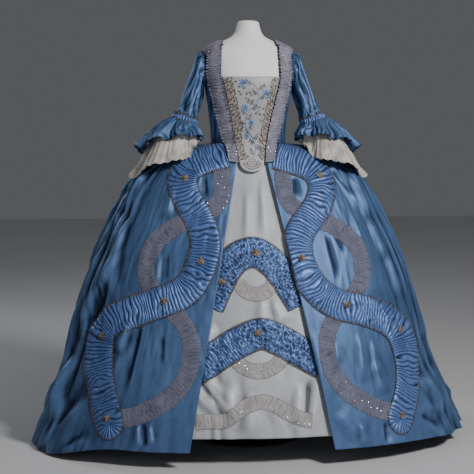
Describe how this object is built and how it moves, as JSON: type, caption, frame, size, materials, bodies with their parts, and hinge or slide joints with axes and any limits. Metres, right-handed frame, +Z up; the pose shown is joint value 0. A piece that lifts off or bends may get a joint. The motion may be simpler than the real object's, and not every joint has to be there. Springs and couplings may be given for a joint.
{
  "type": "robe a la francaise on a dress form",
  "caption": "Blue silk court gown with a sack back, wide hooped skirt, serpentine trims and an ivory petticoat, standing on a limbless dress form.",
  "frame": {"origin": "centre of the stand base's underside, on the floor below the pole", "axes": "+Z up, the wearer faces -Y, +X is the wearer's left"},
  "size_m": [1.5424, 1.2897, 1.473],
  "materials": {
    "blue_taffeta": "crisp silk taffeta with a satin sheen and sharp creases",
    "ivory_taffeta": "ivory-grey silk taffeta, soft sheen",
    "ivory_satin": "ivory silk satin under embroidery",
    "silver_net": "lilac-grey gathered net with metal thread",
    "ivory_net": "ivory net with sequins",
    "linen_lace": "cream linen lace",
    "rosette_ribbon": "gathered ribbon in cream, rust and brown",
    "form_cover": "off-white stretched cover, matt",
    "stand_steel": "dark powder coat"
  },
  "bodies": {
    "root": {"arc_lower": "blue_taffeta", "arc_upper": "blue_taffeta", "bodice_left": "blue_taffeta", "bodice_right": "blue_taffeta", "dress_form": "form_cover", "furbelow_left": "blue_taffeta", "furbelow_right": "blue_taffeta", "garland_lower": "ivory_net", "garland_middle": "ivory_net", "garland_upper": "ivory_net", "lace_cuff_left": "linen_lace", "lace_cuff_right": "linen_lace", "net_left": "silver_net", "net_right": "silver_net", "petticoat": "ivory_taffeta", "robing_left": "silver_net", "robing_right": "silver_net", "rosette_arc_1": "rosette_ribbon", "rosette_arc_2": "rosette_ribbon", "rosette_arc_3": "rosette_ribbon", "rosette_left_1": "rosette_ribbon", "rosette_left_2": "rosette_ribbon", "rosette_left_3": "rosette_ribbon", "rosette_left_4": "rosette_ribbon", "rosette_left_5": "rosette_ribbon", "rosette_right_1": "rosette_ribbon", "rosette_right_2": "rosette_ribbon", "rosette_right_3": "rosette_ribbon", "rosette_right_4": "rosette_ribbon", "rosette_right_5": "rosette_ribbon", "sack_back": "blue_taffeta", "skirt_left": "blue_taffeta", "skirt_right": "blue_taffeta", "sleeve_flounce_left": "blue_taffeta", "sleeve_flounce_right": "blue_taffeta", "sleeve_left": "blue_taffeta", "sleeve_right": "blue_taffeta", "stand_base": "stand_steel", "stand_pole": "stand_steel", "stomacher": "ivory_satin"}
  },
  "joints": []
}
